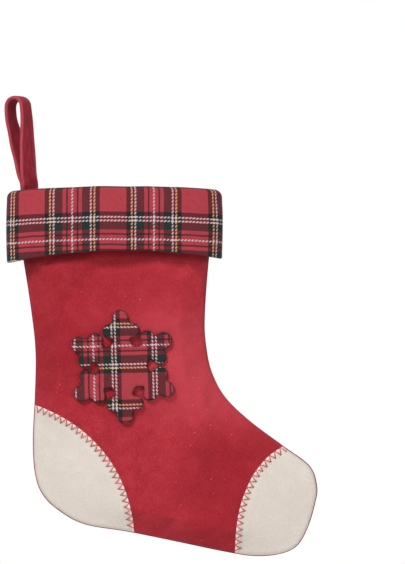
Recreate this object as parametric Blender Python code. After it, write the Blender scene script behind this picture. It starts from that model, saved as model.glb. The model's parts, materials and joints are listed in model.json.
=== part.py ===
"""A hanging felt stocking with a tartan turn-up cuff and a tape loop.

Frame: the origin is where a hook bears, on the inside of the loop's top.  +X runs
towards the toe, -Y is the decorated front and +Z is up.  Sizes below are in
millimetres; meshes are built in metres.
"""
import math

import bmesh
import bpy
from mathutils import Vector
from mathutils.geometry import delaunay_2d_cdt

MM = 0.001
GAP = 0.3                      # clearance between neighbouring pieces

# ---- stocking: leg and foot ------------------------------------------------
FELT = 1.2                     # thickness of the red felt panels
SEAM_HALF_GAP = GAP / 2        # each panel stops this far from the seam plane, y = 0
FRONT_RISE = 9.0               # how far the front panel bellies out from the seam
BACK_RISE = 7.5                # the back lies flatter, against the wall
FOOT_ROLL = 25.0               # distance from the seam over which the foot rises
MOUTH_ROLL = 9.0               # the same at the mouth
ROLL_BLEND = 70.0              # height below the mouth where the foot's roll is reached
PANEL_STEP = 7.8               # spacing of the panels' inner mesh points
PANEL_CLEARANCE = 0.4 * PANEL_STEP  # they keep this far from the outline
RIM_STEP = 5.6                 # spacing of the points along an outline
RIM_RING = 3.2                 # an inner ring of points rounds the panels' edges

# Seam line of leg and foot, from the mouth's rear corner down round the heel,
# sole, toe and instep to the mouth's front corner: (x, z).
LEG_OUTLINE = [
    (-2.5, -48.9), (3.2, -80.0), (7.5, -108.0), (9.2, -127.0), (8.8, -148.0),
    (7.8, -170.0), (8.8, -186.0), (12.5, -196.0), (20.2, -204.0), (34.0, -211.5),
    (56.0, -215.6), (80.0, -220.8), (103.0, -225.4), (118.0, -227.4), (130.0, -226.2),
    (138.5, -222.2), (144.2, -213.0), (148.6, -201.0), (149.8, -193.0),
    (146.2, -182.8), (133.4, -172.6), (116.4, -159.8), (104.2, -147.8),
    (97.3, -135.5), (94.3, -123.0), (93.3, -109.0), (95.2, -81.0), (99.0, -48.0),
]

# ---- sewn-on patches -------------------------------------------------------
PATCH_FELT = 0.9               # cream heel and toe
HEEL_CENTRE = (-10.6, -218.3)  # the heel patch ends on an arc round this point
HEEL_RADIUS = 69.0
HEEL_SWEEP = (math.radians(77), math.radians(-3))
TOE_EDGE = [                   # the toe patch's free edge, from instep to sole
    (137.0, -170.2), (125.6, -177.4), (118.4, -185.6), (114.0, -194.3),
    (111.0, -203.2), (109.2, -214.5), (108.5, -230.0),
]
BEYOND_TOE = 200.0             # x well past the toe, to close the toe patch's side
ZIGZAG_PITCH = 3.5             # one full cycle of the zigzag stitch
ZIGZAG_WIDTH = 3.0
ZIGZAG_INSET = 0.6             # outer needle points sit this far inside the edge
ZIGZAG_THREAD = 0.5

# ---- snowflake -------------------------------------------------------------
FLAKE_CENTRE = (53.0, -133.0)
FLAKE_LEAN = math.radians(3)   # the top arm leans towards the rear of the leg
FLAKE_RADIUS = 28.5            # tip of an arm
FLAKE_BAR = 7.6                # width of an arm
FLAKE_HUB = 11.3               # radius of the middle
CROSSBAR_RADIUS = 18.5         # how far out the crossbars sit
CROSSBAR_HALF = 9.2            # half the length of a crossbar
CROSSBAR_WIDTH = 6.5
FLAKE_FILLET = 0.9             # cut across the corners between an arm and its crossbar
FLAKE_ROOT = (0.2, 1.6)        # the same between the middle and an arm, outwards
FLAKE_CLEARANCE = 1.5          # inner mesh points keep this far from the outline
FLAKE_LIFT = 0.1               # spare room under the backing
FLAKE_BACKING = 1.1            # stiff felt that raises the snowflake
FLAKE_FACE = 0.7               # tartan bonded to the felt

# ---- cuff ------------------------------------------------------------------
CUFF_MIDDLE = 48.6             # x of the cuff's middle
CUFF_HALF_WIDTH = 53.7
CUFF_FRONT = 14.0              # how far the cuff bellies out to the front
CUFF_REAR = 10.8               # its flat back
CUFF_CORNER = 4.0              # superellipse power of the cuff's plan
CUFF_REAR_SWELL = 1.25         # the rear curve is cut flat at CUFF_REAR
CUFF_WALL = 1.4                # tartan doubled over an allowance
CUFF_ARCH_MIDDLE = 54.0        # x where the top and bottom edges arch highest
CUFF_TOP = -43.1               # z of the top edge there
CUFF_TOP_DROP = 1.9            # and how much lower it is at the ends
CUFF_BOTTOM = -75.0
CUFF_BOTTOM_DROP = 4.3
FACING = 0.8                   # the single layer that turns down inside the mouth
FACING_DEPTH = 11.0
FACING_MARGIN = 0.9            # the facing starts this far from the side seams
FOLD_DEPTH = 2.2               # thickness of the fold over the mouth
FOLD_PROFILE = [               # the fold's outer face: share of the way in, and drop
    (0.12, 0.7), (0.35, 0.0), (0.65, 0.0), (0.88, 0.7),
]
PANEL_DROP = 3.6               # the panels stop this far below the cuff's top
CUFF_STATIONS = 26             # spans along each half of the cuff

# ---- loop ------------------------------------------------------------------
TAPE_WIDTH = 7.5
TAPE = 1.8                     # thickness of the folded tape
EYE = 9.2                      # clear space between the strands at the eye
EYE_BOTTOM = -20.0             # the strands start to close below this height
LOOP_TURN = math.radians(70)   # the eye is turned this far about the vertical
LOOP_LEAN = 0.14               # sideways lean per millimetre of drop
HINGE_RISE = 2.3               # the tape bends this far above the cuff
HINGE_Y = -1.0                 # over the stocking's balance point
TAIL_DEPTH = 13.0              # sewn length inside the mouth
STRAND_SPANS = 10              # along each strand below the eye
EYE_SPANS = 3                  # along each strand beside the eye
ARCH_SPANS = 12                # over the hook

# ---- threads ---------------------------------------------------------------
SEAM_THREAD = 0.8
SEAM_THREAD_INSET = 1.7
THREAD_MARGIN = 2.0            # the seams' threads stop this far short of an edge
SIDE_SEAM_DROP = 8.0           # the cuff's side seams start this far below the facing
BARTACK_THREAD = 0.5
BARTACK_OFFSET = 1.2           # from the middle of the tape
BARTACK_LENGTH = 4.6
BARTACK_PITCH = 1.1
BARTACK_TURNS = 6
BARTACK_RISE = 1.5             # above the tails' lower ends

MATTE = 0.9                    # roughness of every cloth
RED = (0.40, 0.022, 0.035)
DEEP_RED = (0.28, 0.016, 0.025)
CREAM = (0.72, 0.65, 0.58)
TARTAN_RED = (0.45, 0.05, 0.07)
TARTAN_SHADE = (0.22, 0.03, 0.04)
BACKING_DARK = (0.061, 0.016, 0.019)


# ---- curves in the plane ---------------------------------------------------
def smooth_curve(points, step):
    """Points about `step` apart on a Catmull-Rom curve through `points`."""
    padded = [points[0]] + list(points) + [points[-1]]
    curve = []
    for p0, p1, p2, p3 in zip(padded, padded[1:], padded[2:], padded[3:]):
        spans = max(1, round(math.dist(p1, p2) / step))
        for i in range(spans):
            t = i / spans
            curve.append(tuple(
                0.5 * (2 * b + (c - a) * t + (2 * a - 5 * b + 4 * c - d) * t * t
                       + (3 * b - a - 3 * c + d) * t ** 3)
                for a, b, c, d in zip(p0, p1, p2, p3)))
    curve.append(tuple(points[-1]))
    return curve


def arc(centre, radius, start, end, spans):
    """Points on an arc, angles in radians."""
    return [(centre[0] + radius * math.cos(start + (end - start) * i / spans),
             centre[1] + radius * math.sin(start + (end - start) * i / spans))
            for i in range(spans + 1)]


def distance_to(line, x, z):
    """Shortest distance from (x, z) to a polyline."""
    best = math.inf
    for (ax, az), (bx, bz) in zip(line, line[1:]):
        ux, uz = bx - ax, bz - az
        t = ((x - ax) * ux + (z - az) * uz) / (ux * ux + uz * uz)
        t = min(1.0, max(0.0, t))
        best = min(best, math.hypot(x - ax - t * ux, z - az - t * uz))
    return best


def resample(line, step):
    """The polyline again, as points at even distances."""
    lengths = [0.0]
    for a, b in zip(line, line[1:]):
        lengths.append(lengths[-1] + math.dist(a, b))
    count = max(1, round(lengths[-1] / step))
    points = []
    span = 0
    for i in range(count + 1):
        want = lengths[-1] * i / count
        while span < len(line) - 2 and lengths[span + 1] < want:
            span += 1
        t = (want - lengths[span]) / (lengths[span + 1] - lengths[span])
        a, b = line[span], line[span + 1]
        points.append(tuple(p + (q - p) * t for p, q in zip(a, b)))
    return points


def smoothstep(t):
    t = min(1.0, max(0.0, t))
    return t * t * (3 - 2 * t)


# ---- shape of the stocking -------------------------------------------------
def cuff_arch(x, height, drop):
    return height - drop * ((x - CUFF_ARCH_MIDDLE) / CUFF_HALF_WIDTH) ** 2


def cuff_top(x):
    return cuff_arch(x, CUFF_TOP, CUFF_TOP_DROP)


def cuff_bottom(x):
    return cuff_arch(x, CUFF_BOTTOM, CUFF_BOTTOM_DROP)


SEAM_LINE = smooth_curve(LEG_OUTLINE, RIM_STEP)


def belly(x, z, rise):
    """How far a panel stands off the seam plane at (x, z)."""
    depth = cuff_top(x) - z
    roll = MOUTH_ROLL + (FOOT_ROLL - MOUTH_ROLL) * smoothstep(depth / ROLL_BLEND)
    d = distance_to(SEAM_LINE, x, z)
    if d >= roll:
        return rise
    return rise * (1 - (1 - d / roll) ** 2)


def mouth_line():
    """The panels' top edge, from the front corner back to the rear one."""
    (x1, _), (x0, _) = SEAM_LINE[-1], SEAM_LINE[0]
    spans = round((x1 - x0) / RIM_STEP)
    xs = [x1 + (x0 - x1) * i / spans for i in range(1, spans)]
    return [(x, cuff_top(x) - PANEL_DROP) for x in xs]


def inner_seam_line(amount):
    """The seam line moved inwards, ending just short of the mouth."""
    line = []
    points = resample(SEAM_LINE, RIM_STEP)
    for i in range(1, len(points) - 1):
        tx = points[i + 1][0] - points[i - 1][0]
        tz = points[i + 1][1] - points[i - 1][1]
        length = math.hypot(tx, tz)
        line.append((points[i][0] - tz / length * amount, points[i][1] + tx / length * amount))
    return line


def lattice(low, high, step):
    """A triangular lattice of points over a rectangle."""
    rows = int((high[1] - low[1]) / (step * math.sqrt(3) / 2)) + 1
    columns = int((high[0] - low[0]) / step) + 2
    for row in range(rows):
        for column in range(columns):
            yield (low[0] + (column + 0.5 * (row % 2)) * step,
                   low[1] + row * step * math.sqrt(3) / 2)


def in_polygon(polygon, x, z):
    inside = False
    for (ax, az), (bx, bz) in zip(polygon, polygon[1:] + polygon[:1]):
        if (az > z) != (bz > z) and x < ax + (bx - ax) * (z - az) / (bz - az):
            inside = not inside
    return inside


def triangulate(polygon, inner_lines, free_points, clearance):
    """Triangles filling a polygon, keeping to the inner lines: (points, faces)."""
    points = [Vector(p) for p in polygon]
    edges = []
    border = [list(polygon) + [polygon[0]]] + inner_lines
    for line in inner_lines:
        first = len(points)
        points += [Vector(p) for p in line]
        edges += [(i, i + 1) for i in range(first, len(points) - 1)]
    for x, z in free_points:
        if in_polygon(polygon, x, z) and all(distance_to(b, x, z) > clearance for b in border):
            points.append(Vector((x, z)))
    face = [list(range(len(polygon)))]
    found = delaunay_2d_cdt(points, edges, face, 1, 1e-4)
    return [tuple(p) for p in found[0]], [tuple(f) for f in found[2]]


class Relief:
    """A triangulated plan with a height at each point: a draped surface."""

    def __init__(self, points, faces, rise):
        self.points = points
        self.faces = faces
        self.heights = [belly(x, z, rise) for x, z in points]

    def height(self, x, z):
        """Height of the faceted surface above (x, z)."""
        best = None
        for face in self.faces:
            (ax, az), (bx, bz), (cx, cz) = (self.points[i] for i in face)
            area = (bx - ax) * (cz - az) - (cx - ax) * (bz - az)
            v = ((x - ax) * (cz - az) - (cx - ax) * (z - az)) / area
            w = ((bx - ax) * (z - az) - (x - ax) * (bz - az)) / area
            slack = min(v, w, 1 - v - w)
            if best is None or slack > best[0]:
                ha, hb, hc = (self.heights[i] for i in face)
                best = (slack, ha + v * (hb - ha) + w * (hc - ha))
        return best[1]

    def part(self, keep):
        """The faces whose middle passes `keep`: (points, faces, heights)."""
        chosen = []
        for face in self.faces:
            x = sum(self.points[i][0] for i in face) / 3
            z = sum(self.points[i][1] for i in face) / 3
            if keep(x, z):
                chosen.append(face)
        used = sorted({i for face in chosen for i in face})
        place = {old: new for new, old in enumerate(used)}
        return ([self.points[i] for i in used],
                [tuple(place[i] for i in face) for face in chosen],
                [self.heights[i] for i in used])


# ---- Blender objects -------------------------------------------------------
def material(name, colour):
    made = bpy.data.materials.new(name)
    made.use_nodes = True
    shader = made.node_tree.nodes["Principled BSDF"]
    shader.inputs["Base Color"].default_value = (*colour, 1)
    shader.inputs["Roughness"].default_value = MATTE
    made.diffuse_color = (*colour, 1)
    return made


def add_object(name, vertices, faces, colour, parent=None, pivot=(0, 0, 0)):
    """One named piece, its faces turned outwards, its origin at `pivot`."""
    base = Vector(pivot)
    mesh = bpy.data.meshes.new(name)
    mesh.from_pydata([(Vector(v) - base) * MM for v in vertices], [], faces)
    solid = bmesh.new()
    solid.from_mesh(mesh)
    bmesh.ops.recalc_face_normals(solid, faces=solid.faces)
    solid.to_mesh(mesh)
    solid.free()
    mesh.shade_smooth()
    mesh.set_sharp_from_angle(angle=math.radians(40))
    mesh.materials.append(material(name, colour))
    piece = bpy.data.objects.new(name, mesh)
    bpy.context.collection.objects.link(piece)
    if parent:
        piece.parent = parent
        piece.location = base * MM - parent.location
    else:
        piece.location = base * MM
    return piece


def layer(points, faces, near, far):
    """A closed slab over a triangulated plan, from y = near to y = far."""
    count = len(points)
    vertices = [(x, y, z) for (x, z), y in zip(points, near)]
    vertices += [(x, y, z) for (x, z), y in zip(points, far)]
    solid = list(faces) + [tuple(i + count for i in reversed(face)) for face in faces]
    sides = set()
    for face in faces:
        for a, b in zip(face, face[1:] + face[:1]):
            sides.add((a, b))
    for a, b in sorted(sides):
        if (b, a) not in sides:
            solid.append((b, a, a + count, b + count))
    return vertices, solid


def tube(sections, closed=False):
    """A solid through matching cross-sections, capped unless closed on itself."""
    around = len(sections[0])
    vertices = [p for section in sections for p in section]
    faces = []
    spans = len(sections) if closed else len(sections) - 1
    for i in range(spans):
        a, b = i * around, (i + 1) % len(sections) * around
        for j in range(around):
            k = (j + 1) % around
            faces.append((a + j, a + k, b + k, b + j))
    if not closed:
        faces.append(tuple(range(around)))
        last = (len(sections) - 1) * around
        faces.append(tuple(range(last + around - 1, last - 1, -1)))
    return vertices, faces


def box(low, high):
    """Corners and faces of an upright box."""
    ring = [(low[0], low[1]), (high[0], low[1]), (high[0], high[1]), (low[0], high[1])]
    return tube([[(x, y, z) for x, y in ring] for z in (low[2], high[2])])


# ---- panels and patches ----------------------------------------------------
HEEL_EDGE = arc(HEEL_CENTRE, HEEL_RADIUS, *HEEL_SWEEP,
                round(HEEL_RADIUS * (HEEL_SWEEP[0] - HEEL_SWEEP[1]) / RIM_STEP))
TOE_CURVE = smooth_curve(TOE_EDGE, RIM_STEP)
TOE_SIDE = TOE_CURVE + [(BEYOND_TOE, TOE_EDGE[-1][1]), (BEYOND_TOE, TOE_EDGE[0][1])]


def in_heel(x, z):
    return math.dist((x, z), HEEL_CENTRE) < HEEL_RADIUS


def in_toe(x, z):
    return in_polygon(TOE_SIDE, x, z)


def panel_relief(rise, inner_lines):
    """The whole stocking in plan, triangulated and bellied out."""
    polygon = SEAM_LINE + mouth_line()
    low = (min(x for x, _ in polygon), min(z for _, z in polygon))
    high = (max(x for x, _ in polygon), max(z for _, z in polygon))
    free = lattice(low, high, PANEL_STEP)
    ring = inner_seam_line(RIM_RING)
    points, faces = triangulate(polygon, inner_lines + [ring], free, PANEL_CLEARANCE)
    return Relief(points, faces, rise)


def sheet_on(relief_part, side, offset, thickness):
    """A slab that follows part of a relief; side is -1 for the front, 1 for the back."""
    points, faces, heights = relief_part
    near = [side * (h + offset) for h in heights]
    far = [side * (h + offset + thickness) for h in heights]
    return layer(points, faces, near, far)


PATCH_OFFSET = SEAM_HALF_GAP + FELT + GAP          # from the relief to a patch
FLAKE_OFFSET = PATCH_OFFSET + FLAKE_LIFT           # to the snowflake's backing


def add_panels(front, back, parent, pivot):
    for name, relief, side in (("front_panel", front, -1), ("back_panel", back, 1)):
        whole = relief.part(lambda x, z: True)
        solid = sheet_on(whole, side, SEAM_HALF_GAP, FELT)
        add_object(name, *solid, RED, parent, pivot)


def add_patches(front, parent, pivot):
    for name, keep in (("heel_patch", in_heel), ("toe_patch", in_toe)):
        solid = sheet_on(front.part(keep), -1, PATCH_OFFSET, PATCH_FELT)
        add_object(name, *solid, CREAM, parent, pivot)


def zigzag(line):
    """Needle points of a zigzag beside a line, outer and inner in turn."""
    base = resample(line, ZIGZAG_PITCH / 2)
    points = []
    for i in range(1, len(base) - 1):
        tx, tz = base[i + 1][0] - base[i - 1][0], base[i + 1][1] - base[i - 1][1]
        length = math.hypot(tx, tz)
        reach = ZIGZAG_INSET if i % 2 else ZIGZAG_INSET + ZIGZAG_WIDTH
        points.append((base[i][0] + tz / length * reach, base[i][1] - tx / length * reach))
    return points


def flat_thread(path, width, surface, thickness):
    """A thread of square section laid along a path on a relief."""
    sections = []
    for i, (x, z) in enumerate(path):
        before = Vector(path[max(i - 1, 0)])
        after = Vector(path[min(i + 1, len(path) - 1)])
        here = Vector((x, z))
        into = (here - before).normalized() if i else (after - here).normalized()
        out = (after - here).normalized() if i < len(path) - 1 else into
        across = Vector((-into.y - out.y, into.x + out.x)).normalized()
        reach = width / 2 / max(0.4, abs(across.dot(Vector((-into.y, into.x)))))
        y = surface(x, z)
        a, b = here + across * reach, here - across * reach
        sections.append([(a.x, y, a.y), (b.x, y, b.y),
                         (b.x, y - thickness, b.y), (a.x, y - thickness, a.y)])
    return tube(sections)


def add_zigzags(front, parent, pivot):
    """Each patch is sewn down by one zigzag just inside its free edge."""
    offset = PATCH_OFFSET + PATCH_FELT + GAP
    outline = SEAM_LINE + mouth_line()
    for name, line in (("heel_zigzag_stitches", HEEL_EDGE),
                       ("toe_zigzag_stitches", TOE_CURVE[::-1])):
        needle = [p for p in zigzag(line)
                  if in_polygon(outline, *p) and distance_to(SEAM_LINE, *p) > ZIGZAG_THREAD]
        solid = flat_thread(needle, ZIGZAG_THREAD,
                            lambda x, z: -(front.height(x, z) + offset), ZIGZAG_THREAD)
        add_object(name, *solid, RED, parent, pivot)


# ---- snowflake -------------------------------------------------------------
def flake_arm():
    """One arm's outline as (along, across), from one valley to the next tip and back."""
    bar = FLAKE_BAR / 2
    end = CROSSBAR_WIDTH / 2
    valley = math.radians(30)
    half = [(FLAKE_HUB * math.cos(valley), -FLAKE_HUB * math.sin(valley)),
            (FLAKE_HUB + FLAKE_ROOT[0], -bar - FLAKE_FILLET),
            (FLAKE_HUB + FLAKE_ROOT[1], -bar),
            (CROSSBAR_RADIUS - end - FLAKE_FILLET, -bar),
            (CROSSBAR_RADIUS - end, -bar - FLAKE_FILLET)]
    half += arc((CROSSBAR_RADIUS, end - CROSSBAR_HALF), end, math.pi, math.pi * 2, 6)
    half += [(CROSSBAR_RADIUS + end, -bar - FLAKE_FILLET),
             (CROSSBAR_RADIUS + end + FLAKE_FILLET, -bar)]
    half += arc((FLAKE_RADIUS - bar, 0.0), bar, -math.pi / 2, 0.0, 4)
    return half + [(along, -across) for along, across in reversed(half[1:-1])]


def flake_outline():
    """Six arms round the middle, as (x, z)."""
    points = []
    for arm in range(6):
        turn = math.radians(90 + 60 * arm) + FLAKE_LEAN
        for along, across in flake_arm():
            points.append((FLAKE_CENTRE[0] + along * math.cos(turn) - across * math.sin(turn),
                           FLAKE_CENTRE[1] + along * math.sin(turn) + across * math.cos(turn)))
    return points


def add_snowflake(front, parent, pivot):
    """A tartan snowflake bonded to a thicker felt one."""
    points, faces = triangulate(flake_outline(), [], front.points, FLAKE_CLEARANCE)
    plan = (points, faces, [front.height(x, z) for x, z in points])
    backing = sheet_on(plan, -1, FLAKE_OFFSET, FLAKE_BACKING)
    add_object("snowflake_backing", *backing, BACKING_DARK, parent, pivot)
    face = sheet_on(plan, -1, FLAKE_OFFSET + FLAKE_BACKING + GAP, FLAKE_FACE)
    add_object("snowflake_face", *face, TARTAN_RED, parent, pivot)


# ---- cuff ------------------------------------------------------------------
def leg_sides(z):
    """The seam line's x at the rear and the front of the leg, at height z."""
    crossings = []
    for (ax, az), (bx, bz) in zip(SEAM_LINE, SEAM_LINE[1:]):
        if (az > z) != (bz > z):
            crossings.append(ax + (bx - ax) * (z - az) / (bz - az))
    return min(crossings), max(crossings)


def inset(line, side, amount):
    """A plan line moved towards the cuff's inside."""
    moved = []
    for i, (x, y) in enumerate(line):
        if i == 0:
            nx, ny = 1.0, 0.0
        elif i == len(line) - 1:
            nx, ny = -1.0, 0.0
        else:
            tx, ty = line[i + 1][0] - line[i - 1][0], line[i + 1][1] - line[i - 1][1]
            nx, ny = side * ty / math.hypot(tx, ty), -side * tx / math.hypot(tx, ty)
        moved.append((x + nx * amount, y + ny * amount))
    return moved


def cuff_spread():
    """Where the stations lie across the width, from -1 to 1, and how deep: (x, y)."""
    spread = []
    for i in range(CUFF_STATIONS + 1):
        turn = math.pi * (1 - i / CUFF_STATIONS)
        across = math.copysign(abs(math.cos(turn)) ** (2 / CUFF_CORNER), math.cos(turn))
        spread.append((across, abs(math.sin(turn)) ** (2 / CUFF_CORNER)))
    return spread


def cuff_plan(side):
    """The cuff's outer line on one side of the seam plane: (x, y)."""
    points = []
    for across, deep in cuff_spread():
        y = CUFF_FRONT * deep if side < 0 else min(CUFF_REAR, CUFF_REAR * CUFF_REAR_SWELL * deep)
        points.append((CUFF_MIDDLE + CUFF_HALF_WIDTH * across, side * max(y, GAP / 2)))
    return points


def mouth_plan(panel, side):
    """The narrowest line of a panel's inner face behind the facing: (x, y)."""
    low, high = leg_sides(cuff_top(CUFF_MIDDLE) - FACING_DEPTH)
    low, high = low + FACING_MARGIN, high - FACING_MARGIN
    points = []
    for across, deep in cuff_spread():
        x = (low + high) / 2 + (high - low) / 2 * across
        y = 0.0
        if deep > 0.01:
            y = min(panel.height(x, cuff_top(x) - depth) for depth in (PANEL_DROP, FACING_DEPTH))
        points.append((x, side * (y + GAP / 2)))
    return points


def between(a, b, t):
    return a[0] + (b[0] - a[0]) * t, a[1] + (b[1] - a[1]) * t


def cuff_half(panel, side):
    """Outer wall, fold over the mouth and facing, swept along one side."""
    outer = cuff_plan(side)
    wall = inset(outer, side, CUFF_WALL)
    facing = inset(mouth_plan(panel, side), side, GAP)
    lining = inset(mouth_plan(panel, side), side, GAP + FACING)
    sections = []
    for o, w, f, i in zip(outer, wall, facing, lining):
        top, bottom = cuff_top(o[0]), cuff_bottom(o[0])
        profile = [(o, bottom), (o, top - FOLD_DEPTH)]
        profile += [(between(o, i, share), top - drop) for share, drop in FOLD_PROFILE]
        profile += [(i, top - FOLD_DEPTH), (i, top - FACING_DEPTH), (f, top - FACING_DEPTH),
                    (f, top - FOLD_DEPTH - GAP), (w, top - FOLD_DEPTH - GAP), (w, bottom)]
        sections.append([(x, y, z) for (x, y), z in profile])
    return tube(sections)


def add_cuff(front, back, parent, pivot):
    add_object("cuff_front", *cuff_half(front, -1), TARTAN_RED, parent, pivot)
    add_object("cuff_back", *cuff_half(back, 1), TARTAN_SHADE, parent, pivot)


# ---- loop and its tails ----------------------------------------------------
HINGE_Z = cuff_top(LOOP_LEAN * -CUFF_TOP) + HINGE_RISE
HINGE = (LOOP_LEAN * -HINGE_Z, HINGE_Y, HINGE_Z)


def tape_section(centre, width_way, thick_way):
    """Four corners of the tape's section."""
    w = width_way * TAPE_WIDTH / 2
    t = thick_way * TAPE / 2
    return [tuple(centre + w + t), tuple(centre - w + t),
            tuple(centre - w - t), tuple(centre + w - t)]


def strand(z, side):
    """Section of one strand at height z; side is 1 for the front strand."""
    close = smoothstep((EYE_BOTTOM - z) / (EYE_BOTTOM - HINGE_Z))
    turn = LOOP_TURN * (1 - close)
    spacing = (EYE + TAPE) * (1 - close) + (TAPE + GAP) * close
    apart = Vector((math.sin(turn), -math.cos(turn), 0.0))
    width_way = Vector((math.cos(turn), math.sin(turn), 0.0))
    centre = Vector((-LOOP_LEAN * z, HINGE_Y, z)) + apart * spacing / 2 * side
    return tape_section(centre, width_way, apart * side)


def add_loop():
    """One tape: up the front strand, over the hook and down the rear strand."""
    arch_base = -EYE / 2
    apart = Vector((math.sin(LOOP_TURN), -math.cos(LOOP_TURN), 0.0))
    width_way = Vector((math.cos(LOOP_TURN), math.sin(LOOP_TURN), 0.0))
    heights = [HINGE_Z + (EYE_BOTTOM - HINGE_Z) * i / STRAND_SPANS
               for i in range(STRAND_SPANS + 1)]
    heights += [EYE_BOTTOM + (arch_base - EYE_BOTTOM) * i / EYE_SPANS
                for i in range(1, EYE_SPANS + 1)]
    sections = [strand(z, 1) for z in heights]
    for i in range(1, ARCH_SPANS):
        turn = math.pi * i / ARCH_SPANS
        out = apart * math.cos(turn) + Vector((0, 0, math.sin(turn)))
        centre = Vector((-LOOP_LEAN * arch_base, HINGE_Y, arch_base)) + out * (EYE + TAPE) / 2
        sections.append(tape_section(centre, width_way, out))
    sections += [strand(z, -1) for z in reversed(heights)]
    add_object("hanging_loop", *tube(sections), DEEP_RED)


def add_tails(parent, pivot):
    """The tape's two ends inside the mouth, and the bartack that holds them."""
    top = HINGE_Z - HINGE_RISE
    half = TAPE_WIDTH / 2
    for name, side in (("loop_tail_front", -1), ("loop_tail_rear", 1)):
        near = HINGE_Y + side * GAP / 2
        far = near + side * TAPE
        tail = box((HINGE[0] - half, min(near, far), top - TAIL_DEPTH),
                   (HINGE[0] + half, max(near, far), top))
        add_object(name, *tail, DEEP_RED, parent, pivot)
    front = HINGE_Y - GAP / 2 - TAPE - GAP
    needle = [(HINGE[0] + BARTACK_OFFSET + BARTACK_LENGTH / 2 * (-1) ** i,
               top - TAIL_DEPTH + BARTACK_RISE + i * BARTACK_PITCH) for i in range(BARTACK_TURNS)]
    thread = flat_thread(needle, BARTACK_THREAD, lambda x, z: front, BARTACK_THREAD)
    add_object("loop_bartack", *thread, RED, parent, pivot)


# ---- seam threads ----------------------------------------------------------
def add_side_seam(parent, pivot):
    """The long seam that joins the two panels, from mouth to mouth."""
    path = [(x, z) for x, z in inner_seam_line(SEAM_THREAD_INSET)
            if z < cuff_top(x) - FACING_DEPTH - THREAD_MARGIN]
    solid = flat_thread(path, SEAM_THREAD, lambda x, z: SEAM_THREAD / 2, SEAM_THREAD)
    add_object("side_seam_thread", *solid, RED, parent, pivot)


def add_cuff_seam(front, back, parent, pivot):
    """The line of stitching that holds the facing to the panels, round the mouth."""
    depth = GAP + FACING + GAP
    start = HINGE[0] + TAPE_WIDTH / 2 + THREAD_MARGIN
    whole = inset(mouth_plan(back, 1), 1, depth) + inset(mouth_plan(front, -1), -1, depth)[::-1]
    whole = [p for p in whole if p[0] > start]
    path = resample(whole, RIM_STEP)
    sections = []
    for i, (x, y) in enumerate(path):
        before, after = path[max(i - 1, 0)], path[min(i + 1, len(path) - 1)]
        tx, ty = after[0] - before[0], after[1] - before[1]
        nx, ny = ty / math.hypot(tx, ty) * SEAM_THREAD, -tx / math.hypot(tx, ty) * SEAM_THREAD
        low = cuff_top(x) - FACING_DEPTH + THREAD_MARGIN
        high = low + SEAM_THREAD
        sections.append([(x, y, low), (x + nx, y + ny, low), (x + nx, y + ny, high), (x, y, high)])
    add_object("cuff_seam_thread", *tube(sections), RED, parent, pivot)


def add_cuff_side_seams(parent, pivot):
    """Stitching down the inside of the cuff's two side seams."""
    half = SEAM_THREAD / 2
    for name, side in (("cuff_side_seam_rear", -1), ("cuff_side_seam_front", 1)):
        x = CUFF_MIDDLE + side * (CUFF_HALF_WIDTH - CUFF_WALL - GAP - half)
        low = cuff_bottom(x) + THREAD_MARGIN
        high = cuff_top(x) - FACING_DEPTH - SIDE_SEAM_DROP
        column = box((x - half, -half, low), (x + half, half, high))
        add_object(name, *column, RED, parent, pivot)


# ---- assembly --------------------------------------------------------------
def clear_scene():
    for existing in list(bpy.data.objects):
        bpy.data.objects.remove(existing, do_unlink=True)


def main():
    clear_scene()
    swing = bpy.data.objects.new("loop_swing_axis", None)
    bpy.context.collection.objects.link(swing)
    swing.location = Vector(HINGE) * MM
    pivot = HINGE
    front = panel_relief(FRONT_RISE, [HEEL_EDGE, TOE_CURVE])
    back = panel_relief(BACK_RISE, [])
    add_loop()
    add_tails(swing, pivot)
    add_panels(front, back, swing, pivot)
    add_patches(front, swing, pivot)
    add_zigzags(front, swing, pivot)
    add_snowflake(front, swing, pivot)
    add_cuff(front, back, swing, pivot)
    add_side_seam(swing, pivot)
    add_cuff_seam(front, back, swing, pivot)
    add_cuff_side_seams(swing, pivot)


main()
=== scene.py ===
"""Looks of the hanging stocking: felt, tartan, stitches, tape, light and camera.

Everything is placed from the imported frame.  Plan coordinates are (x, z) in
millimetres, since the stocking lies in the XZ plane with its front towards -Y;
meshes are made in metres.
"""
import json
import math
from math import cos, pi, radians, sin, tau

import bmesh
import bpy
import numpy as np
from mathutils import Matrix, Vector, noise
from mathutils.bvhtree import BVHTree
from mathutils.geometry import delaunay_2d_cdt
from numpy.linalg import norm


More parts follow.
